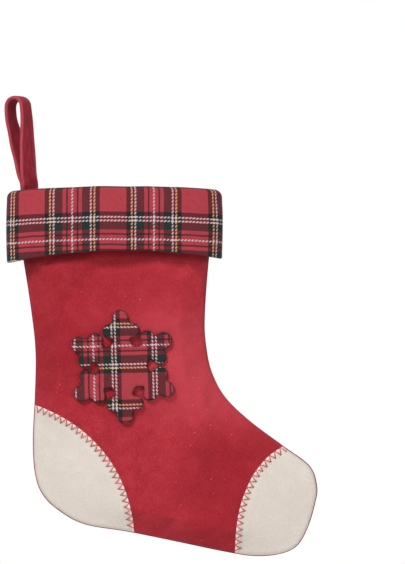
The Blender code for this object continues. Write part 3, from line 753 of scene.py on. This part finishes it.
def top_corner(x):
    """How far the cuff's top drops at its rounded ends."""
    over = max(0.0, abs(x - CUFF_MIDDLE) - CUFF_HALF_WIDTH + TOP_CORNER)
    return TOP_CORNER - math.sqrt(max(0.0, TOP_CORNER ** 2 - over ** 2))


def half_turn(count):
    """The angles between the ends of a half circle."""
    return np.linspace(0, pi, count)[1:-1]


def cuff_profile(outer, wall, facing, lining, out, top, bottom, ripple):
    """One upright section of the cuff as (place, cloth distance) pairs."""
    section = []
    tall = top - bottom

    def wall_point(base, z, depth):
        share = (top - z) / tall
        swell = CUFF_SWELL * sin(pi * min(1, share)) + HEM_FLARE * share ** 3
        x, y = base + out * (swell + ripple(share)) * min(1, share * 4)
        section.append(((x, y, z), depth))

    hem = CUFF_WALL / 2
    fold, tuck, low = top - FOLD_DEPTH, top - FOLD_DEPTH - FACING, bottom + hem
    for z in np.linspace(low, fold, 24):
        wall_point(outer, z, top - z)
    reach = float(norm(lining - outer))
    for turn in half_turn(11):
        x, y = outer + (lining - outer) * (1 - cos(turn)) / 2
        depth = (FOLD_DEPTH + reach / 2) * (1 - 2 * turn / pi) - reach / 2
        section.append(((x, y, top - FOLD_DEPTH * (1 - sin(turn))), depth))
    inner = top - FACING_DEPTH
    section += [((*lining, z), z - top - reach) for z in np.linspace(fold, inner, 6)]
    section += [((*facing, z), z - top - reach) for z in np.linspace(inner, tuck, 5)]
    for turn in half_turn(7):
        x, y = facing + (wall - facing) * (1 - cos(turn)) / 2
        section.append(((x, y, tuck + FACING_FOLD * sin(turn)), 0.0))
    for z in np.linspace(tuck, low, 12):
        wall_point(wall, z, 2 * tall - (top - z))
    for turn in half_turn(7):
        share = (1 + cos(turn)) / 2
        wall_point(wall * share + outer * (1 - share), low - hem * sin(turn),
                   tall + hem * share)
    return section


def add_cuff(name, tree, side):
    """Outer wall with a turned hem, rounded fold over the mouth, and facing."""
    (across, deep, x, y), travelled = even_stations(side)
    outer = np.stack([x, side * np.maximum(y, SEAM_HALF_GAP)], 1)
    wall = inset(outer, side, CUFF_WALL)
    mouth = mouth_plan(tree, across, deep, side)
    facing, lining = inset(mouth, side, FACING_GAP), inset(mouth, side, FACING_GAP + FACING)
    outward = outer - inset(outer, side, 1.0)
    sections, flat = [], []
    for k, s in enumerate(travelled):
        ends = min(1.0, min(k, CUFF_STATIONS - k) / 8)

        def ripple(share):
            slow = wave((s / 19, share * 1.3, side * 7.0))
            fine = wave((s / 7, share * 4.0, side * 3.0))
            return ends * (0.75 * slow + 0.22 * fine)

        corner = top_corner(outer[k][0])
        crest = 0.25 * wave((s / 15, 2.0, side * 5.0))
        top = cuff_top(outer[k][0]) - corner + crest * ends
        hem = 0.3 * wave((s / 12, 8.0, side * 5.0))
        bottom = cuff_bottom(outer[k][0]) + hem
        section = cuff_profile(outer[k], wall[k], facing[k], lining[k], outward[k] * ends,
                               top, bottom, ripple)
        sections.append([place for place, _ in section])
        flat += [(s + TARTAN_SHIFT, depth + corner * 0.6 - TARTAN_DROP) for _, depth in section]
    piece = add_piece(name, *tube(sections), "tartan", cloth=flat, smooth=60)
    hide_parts(name.replace("_tartan", ""))
    return piece, float(travelled[-1] - travelled[0])


# ---- hanging tape ----
def tape_ring(centre, width_way, thick_way, along):
    """The tape's soft rectangular section, and its place on the tape."""
    ring, flat = [], []
    for k in range(TAPE_AROUND):
        turn = tau * (k + 0.5) / TAPE_AROUND
        a, b = (math.copysign(abs(part) ** TAPE_ROUNDNESS, part) * size / 2
                for part, size in ((cos(turn), TAPE_WIDTH), (sin(turn), TAPE)))
        a *= 1 + 0.05 * wave((along / 9, 0.0, math.copysign(3.0, a)))
        ring.append(tuple(centre + width_way * a + thick_way * b))
        flat.append((a, along, b))
    return ring, flat


STRAND_CURVE = np.array(smooth_curve(STRANDS, 0.8))[::-1]


def strand_frame(z, side):
    """Centre and directions of one strand at height z; side is 1 for the front strand."""
    x, turn, spacing = (float(np.interp(z, STRAND_CURVE[:, 0], STRAND_CURVE[:, k]))
                        for k in (1, 2, 3))
    turn = radians(turn)
    apart = Vector((sin(turn), -cos(turn), 0.0))
    width_way = Vector((cos(turn), sin(turn), 0.0))
    centre = Vector((x, HINGE.y, z)) + apart * spacing / 2 * side
    return centre, width_way, apart * side


def add_tape():
    """One tape: up the front strand, over the hook and down the rear strand."""
    base = -STRANDS[0][3] / 2 + TAPE / 2
    heights = np.linspace(HINGE.z - 2 - TAIL_DEPTH, base, 52)
    stops = [strand_frame(z, 1) for z in heights]
    front, width_way, apart = strand_frame(base, 1)
    middle = (front + strand_frame(base, -1)[0]) / 2
    reach = (front - middle).length
    for turn in half_turn(19):
        out = apart * cos(turn) + Vector((0, 0, sin(turn)))
        stops.append((middle + out * reach, width_way, out))
    stops += [strand_frame(z, -1) for z in heights[::-1]]
    sections, flat, along, before = [], [], 0.0, stops[0][0]
    for centre, width_way, thick_way in stops:
        along += (centre - before).length
        before = centre
        ring, places = tape_ring(centre, width_way, thick_way, along)
        sections.append(ring)
        flat += places
    piece = add_piece("loop_tape", *tube(sections), "loop_tape", body=None, cloth=flat)
    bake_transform(piece)
    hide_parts("hanging_loop", "loop_tail_front", "loop_tail_rear")
    return piece, along


# ---- materials ----
def rgb(red, green, blue):
    """A display colour, each part from 0 to 255, as a linear one."""
    parts = [p / 255 for p in (red, green, blue)]
    return tuple(p / 12.92 if p <= 0.04045 else ((p + 0.055) / 1.055) ** 2.4
                 for p in parts) + (1.0,)


class Finish:
    """A material's node tree, with short ways to add to it."""

    def __init__(self, name, roughness, sheen=0.0, sheen_tint=(1, 1, 1, 1), specular=0.3):
        self.material = bpy.data.materials.new(name)
        self.material.use_nodes = True
        self.tree = self.material.node_tree
        self.shader = self.tree.nodes["Principled BSDF"]
        look = {"Roughness": roughness, "Sheen Weight": sheen, "Sheen Roughness": 0.45,
                "Sheen Tint": sheen_tint, "Specular IOR Level": specular}
        for key, value in look.items():
            self.feed(self.shader.inputs[key], value)
        self.place = self.add("TexCoord", output="Object")

    def add(self, kind, inputs=None, output=0, **settings):
        """A node's output, the node being set up and fed."""
        node = self.tree.nodes.new("ShaderNode" + kind)
        for key, value in settings.items():
            setattr(node, key, value)
        for key, value in (inputs or {}).items():
            self.feed(node.inputs[key], value)
        return node.outputs[output]

    def feed(self, socket, value):
        if isinstance(value, bpy.types.NodeSocket):
            self.tree.links.new(value, socket)
        else:
            socket.default_value = value

    def calc(self, operation, *values):
        return self.add("Math", dict(enumerate(values)), operation=operation)

    def vector(self, operation, a, b):
        second = "Scale" if operation == "SCALE" else 1
        return self.add("VectorMath", {0: a, second: b}, operation=operation)

    def times(self, first, *others):
        for other in others:
            first = self.calc("MULTIPLY", first, other)
        return first

    def plus(self, a, b):
        return self.calc("ADD", a, b)

    def minus(self, a, b):
        return self.calc("SUBTRACT", a, b)

    def between(self, value, low, high, to_low=0.0, to_high=1.0):
        """A value's share of a range, clamped and eased."""
        inputs = {0: value, 1: low, 2: high, 3: to_low, 4: to_high}
        return self.add("MapRange", inputs, interpolation_type="SMOOTHSTEP")

    def zone(self, *edges):
        """Where every one of some ranges is passed."""
        return self.times(*[self.between(*edge) for edge in edges])

    def noise(self, scale, detail=2.0, place=None, stretch=None, output="Fac"):
        place = place or self.place
        if stretch:
            place = self.vector("MULTIPLY", place, stretch)
        inputs = {"Vector": place, "Scale": scale, "Detail": detail}
        return self.add("TexNoise", inputs, output)

    def mix(self, share, a, b, blend="MIX"):
        return self.add("Mix", {0: share, 6: a, 7: b}, 2, data_type="RGBA", blend_type=blend)

    def tint(self, shade, goal, value, *edges, blend="MIX"):
        """A shade drawn towards another where a value passes a range."""
        return self.mix(self.between(value, *edges), shade, goal, blend)

    def attribute(self, name, output="Fac"):
        return self.add("Attribute", None, output, attribute_name=name)

    def axis(self, vector, name):
        return self.add("SeparateXYZ", {0: vector}, name)

    def bump(self, height, distance, strength=1.0):
        inputs = {"Height": height, "Distance": distance, "Strength": strength}
        self.feed(self.shader.inputs["Normal"], self.add("Bump", inputs))

    def paint(self, value):
        self.feed(self.shader.inputs["Base Color"], value)

    def use(self, *pieces):
        for piece in pieces:
            piece.data.materials.clear()
            piece.data.materials.append(self.material)


def brushed_felt(look, main, light, dark):
    """Cloudy nap, matted fibres and a few pale specks of lint."""
    nap = look.noise(22, 2)
    cloud = look.noise(170, 4)
    fibres = look.noise(1500, 3, stretch=(1.0, 1.0, 0.55))
    shade = look.mix(look.between(nap, 0.3, 0.7), dark, main)
    shade = look.tint(shade, light, cloud, 0.35, 0.8, 0.0, 0.45)
    shade = look.tint(shade, light, fibres, 0.4, 0.7, 0.0, 0.4)
    shade = look.tint(shade, dark, fibres, 0.45, 0.25, 0.0, 0.4)
    height = look.plus(look.times(fibres, 0.7), look.times(look.noise(420, 3), 0.9))
    look.bump(height, 0.00035, 0.55)
    return shade


def red_felt():
    look = Finish("red_felt", 0.92, 0.35, rgb(255, 150, 160), 0.15)
    shade = brushed_felt(look, rgb(176, 45, 56), rgb(197, 61, 73), rgb(161, 36, 47))
    # Painted shade: the felt is darker to the rear of the snowflake, above it, and down the foot
    # towards the toe.
    x = look.axis(look.place, "X")
    z = look.axis(look.place, "Z")
    drift = look.times(look.minus(look.noise(28, 2), 0.5), 0.05)
    x = look.plus(x, drift)
    rear = look.zone((x, 0.062, 0.018), (z, -0.165, -0.13), (z, -0.085, -0.118))
    lean = look.plus(x, look.times(look.plus(z, 0.18), -0.35))
    toeward_shade = look.zone((lean, 0.072, 0.096), (z, -0.155, -0.178))
    upper = look.zone((z, -0.125, -0.095), (x, 0.085, 0.06, 0.0, 0.5))
    painted_shade_zones = look.calc("MAXIMUM", look.plus(rear, toeward_shade), upper)
    shade = look.mix(look.times(painted_shade_zones, 0.5), shade, rgb(146, 26, 38))
    # Painted light: the felt is lighter below the snowflake.
    ankle_light = look.zone((x, 0.05, 0.08), (z, -0.17, -0.145), (z, -0.095, -0.12))
    shade = look.mix(look.times(ankle_light, 0.48), shade, rgb(206, 76, 88))
    # Painted shadow: a darker band just under the cuff's hem.
    below = look.attribute("hem")
    shade = look.tint(shade, rgb(118, 18, 28), below, 4.5, 1.0, 0.0, 0.8)
    lint = look.noise(800, 1)
    look.paint(look.tint(shade, rgb(228, 150, 155), lint, 0.765, 0.81, 0.0, 0.5))
    return look


def cream_felt():
    look = Finish("cream_felt", 0.95, 0.15, rgb(255, 250, 240), 0.1)
    shade = brushed_felt(look, rgb(225, 215, 205), rgb(231, 222, 212),
                         rgb(220, 209, 199))
    lint = look.noise(700, 2)
    shade = look.tint(shade, rgb(190, 165, 150), lint, 0.7, 0.78, 0.0, 0.35)
    # Painted highlight: the cream is lighter along the patch's cut edge.
    rim = look.attribute("rim")
    shade = look.tint(shade, rgb(248, 240, 230), rim, 0.1, 0.8, 0.0, 0.7)
    # The cream darkens to brown red at each needle hole: partly the thread going in, partly
    # painted shade in the hole.
    needle = look.attribute("needle")
    look.paint(look.tint(shade, rgb(110, 48, 42), needle, 0.2, 0.8, 0.0, 0.9))
    return look


def backing_felt():
    look = Finish("backing_felt", 0.95, 0.1, (1, 1, 1, 1), 0.1)
    look.paint(brushed_felt(look, rgb(70, 34, 38), rgb(92, 48, 52), rgb(52, 28, 32)))
    return look


RED = (174, 62, 73)
DARK = (38, 36, 38)
GREEN = (32, 48, 44)
WHITE = (226, 206, 210)
YELLOW = (222, 189, 132)
BLACK = (30, 28, 32)
# Half a sett, from the white centre line outwards: threads and colour.
WARP = [(1, WHITE), (3.5, RED), (2, DARK), (5, RED), (8, GREEN), (2, WHITE), (2, DARK),
        (2, YELLOW), (5, BLACK), (15.5, RED)]
WEFT = [(threads, WHITE if shade == YELLOW else shade) for threads, shade in WARP]


def stripes(look, place, sett):
    """A sett's colour at a distance counted in threads, mirrored at both ends."""
    half = sum(threads for threads, _ in sett)
    share = look.calc("DIVIDE", look.calc("PINGPONG", place, half), half)
    painted = look.add("ValToRGB", {0: share})
    ramp = painted.node.color_ramp
    ramp.interpolation = "CONSTANT"
    start = 0.0
    for index, (threads, shade) in enumerate(sett):
        stop = ramp.elements[index] if index < 2 else ramp.elements.new(start / half)
        stop.position = start / half
        stop.color = rgb(*shade)
        start += threads
    return painted


def tartan():
    """A two-and-two twill woven from two setts."""
    look = Finish("tartan", 0.85, 0.12, (1, 1, 1, 1), 0.2)
    cloth = look.attribute("cloth", "Vector")
    wander = look.noise(130.0, 2.0, cloth, output="Color")
    wander = look.vector("SUBTRACT", wander, (0.5,) * 3)
    wander = look.vector("SCALE", wander, WANDER * THREAD_COUNT * MM)
    cloth = look.vector("ADD", cloth, wander)
    threads = look.vector("SCALE", cloth, 1 / (THREAD_COUNT * MM))
    u, v = look.axis(threads, "X"), look.axis(threads, "Y")
    column, row = look.calc("FLOOR", u), look.calc("FLOOR", v)
    phase = look.calc("FLOORED_MODULO", look.plus(column, row), 4.0)
    warp_up = look.calc("LESS_THAN", phase, 1.5)
    warp = stripes(look, look.plus(column, 0.5), WARP)
    weft = stripes(look, look.plus(row, 0.5), WEFT)
    # The dull yarns are hairy and blur together; the white and yellow ones stand out.
    light = look.calc("MAXIMUM", look.axis(warp, "Y"), look.axis(weft, "Y"))
    clear = look.between(light, 0.1, 0.4, BLUR, 0.15)
    woven = look.times(warp_up, look.minus(1.0, clear))
    shade = look.mix(look.plus(woven, look.times(clear, 0.5)), weft, warp)
    apart = look.minus(look.axis(warp, "X"), look.axis(weft, "X"))
    dull = look.zone((look.calc("ABSOLUTE", apart), 0.1, 0.3), (light, 0.1, 0.4, 0.5, 0.12))
    shade = look.mix(dull, shade, rgb(44, 22, 28))

    def thread_round(value):
        middle = look.minus(look.calc("FRACT", value), 0.5)
        return look.calc("COSINE", look.times(middle, pi))

    inputs = {0: warp_up, 2: thread_round(v), 3: thread_round(u)}
    height = look.add("Mix", inputs, data_type="FLOAT")
    # Painted shade darkens each thread towards its edges, where it dips beside its neighbours.
    shade = look.tint(shade, rgb(40, 16, 20), height, 0.0, 0.6, 0.25, 0.0)
    along_warp = look.noise(1.0, 2, threads, (1.0, 0.12, 1.0))
    along_weft = look.noise(1.0, 2, threads, (0.12, 1.0, 1.0))
    uneven = look.plus(along_warp, along_weft)
    shade = look.tint(shade, rgb(235, 150, 155), uneven, 0.8, 1.25, 0.0, 0.22,
                      blend="SOFT_LIGHT")
    shade = look.tint(shade, rgb(30, 14, 18), uneven, 0.95, 0.7, 0.0, 0.3)
    # The snowflake's cloth darkens towards its rim: partly its darker cut edge, partly painted
    # shade for the shadow round it.
    rim = look.attribute("rim")
    look.paint(look.tint(shade, rgb(36, 14, 18), rim, 0.06, 0.42, 0.0, 0.85))
    look.bump(look.plus(height, look.times(uneven, 0.4)), 0.00008, 0.5)
    return look


def tape_weave():
    """A woven tape: ribs along it, fine weft across, and paler edges that are a painted
    highlight.
    """
    look = Finish("loop_tape", 0.88, 0.3, rgb(255, 130, 140), 0.2)
    cloth = look.attribute("cloth", "Vector")
    across, along = look.axis(cloth, "X"), look.axis(cloth, "Y")
    rib = look.calc("SINE", look.times(across, tau / 0.0008))
    weft = look.calc("SINE", look.times(along, tau / 0.0006))
    worn = look.noise(1.0, 3, cloth, (900.0, 160.0, 900.0))
    shade = look.mix(look.between(worn, 0.35, 0.65), rgb(136, 33, 47), rgb(162, 46, 60))
    # Painted highlight: the tape is paler along its edges.
    edge = look.calc("ABSOLUTE", across)
    shade = look.tint(shade, rgb(206, 84, 96), edge, 0.0028, 0.0038, 0.0, 0.8)
    # Painted shade: the tape darkens in the grooves between its ribs.
    shade = look.tint(shade, rgb(100, 22, 32), rib, -1.0, 0.4, 0.35, 0.0)
    look.paint(shade)
    height = look.plus(look.times(rib, 0.6), look.times(weft, 0.4))
    look.bump(look.plus(height, worn), 0.00012, 0.6)
    return look


def sewing_thread():
    look = Finish("red_thread", 0.6, 0.2, (1, 1, 1, 1), 0.4)
    fleck = look.noise(2400, 2)
    tone = look.noise(120, 2)
    shade = look.mix(look.between(tone, 0.4, 0.6), rgb(206, 92, 98), rgb(222, 118, 120))
    look.paint(look.tint(shade, rgb(150, 40, 50), fleck, 0.3, 0.55, 0.5, 0.0))
    look.bump(fleck, 0.00008, 0.6)
    return look


def floor_paper():
    look = Finish("floor", 0.9)
    speck = look.noise(40, 4)
    look.paint(look.mix(speck, rgb(236, 234, 231), rgb(242, 240, 238)))
    return look


def add_studio():
    """Soft key from the upper left, a pale floor well below, and a white surround."""
    low, high = CAD_BOX
    middle = (low + high) / 2
    for name, (place, size, power) in LAMPS.items():
        lamp = bpy.data.lights.new(name, "AREA")
        lamp.shape = "DISK"
        lamp.size = size
        lamp.energy = power
        holder = add_object(name, lamp)
        holder.location = middle + Vector(place)
        holder.rotation_euler = (middle - holder.location).to_track_quat("-Z", "Y").to_euler()
    floor = bpy.data.meshes.new("floor")
    ring = [(*p, 0.0) for p in arc((0.0, 0.0), FLOOR_RADIUS, 0.0, tau, 0.131)[:-1]]
    floor.from_pydata(ring, [], [tuple(range(len(ring)))])
    holder = add_object("floor", floor)
    holder.location = (middle.x, middle.y, CAMERA_AIM[2] - FLOOR_DEPTH)
    floor_paper().use(holder)
    world = bpy.data.worlds.new("studio")
    bpy.context.scene.world = world
    world.use_nodes = True
    tree = world.node_tree
    seen = tree.nodes.new("ShaderNodeLightPath").outputs["Is Camera Ray"]
    strength = tree.nodes.new("ShaderNodeMapRange")
    strength.inputs[3].default_value = WORLD_LIGHT
    strength.inputs[4].default_value = 1.0
    tree.links.new(seen, strength.inputs[0])
    tree.links.new(strength.outputs[0], tree.nodes["Background"].inputs["Strength"])
    tree.nodes["Background"].inputs["Color"].default_value = (1, 1, 1, 1)


def add_camera():
    camera = bpy.data.cameras.new("camera")
    camera.sensor_width = 36
    camera.lens = 36 * CAMERA_DISTANCE / PICTURE_HEIGHT
    holder = add_object("camera", camera)
    holder.location = Vector(CAMERA_AIM) + Vector((0, -CAMERA_DISTANCE, 0))
    holder.rotation_euler = (pi / 2, 0, 0)
    bpy.context.scene.camera = holder
    bpy.context.scene.view_settings.view_transform = "Standard"


def build():
    back_outline = list(map(tuple, offset_line(SEAM_LINE, -BACK_PEEP)))
    front, front_cut, front_skin = add_panel("front_felt", FRONT_DRAPE, -1, SEAM_LINE, "red_felt")
    back, back_cut, _ = add_panel("back_felt", BACK_DRAPE, 1, back_outline, "red_felt")
    heel, heel_cut, heel_needles, heel_skin = add_patch(
        "heel_felt", HEEL_EDGE, lambda p: np.hypot(*(p - np.array(HEEL_CENTRE)).T) < HEEL_RADIUS)
    toe, toe_cut, toe_needles, toe_skin = add_patch(
        "toe_felt", TOE_CURVE, lambda p: inside(p, TOE_CURVE[::-1] + FAR_TOE[::-1]))
    heel_thread = add_stitches("heel_thread", heel_needles, [front_skin, heel_skin])
    toe_thread = add_stitches("toe_thread", toe_needles, [front_skin, toe_skin])
    backing, flake, flake_cut = add_snowflake()
    cuff_front, front_run = add_cuff("cuff_front_tartan", FRONT_DRAPE, -1)
    cuff_back, back_run = add_cuff("cuff_back_tartan", BACK_DRAPE, 1)
    tape, tape_run = add_tape()

    red_felt().use(front, back)
    cream_felt().use(heel, toe)
    backing_felt().use(backing)
    tartan().use(flake, cuff_front, cuff_back)
    tape_weave().use(tape)
    inner = ("side_seam_thread", "cuff_seam_thread", "cuff_side_seam_rear",
             "cuff_side_seam_front", "loop_bartack")
    sewing_thread().use(heel_thread, toe_thread, *[frame["nodes"][name] for name in inner])


build()
add_studio()
add_camera()
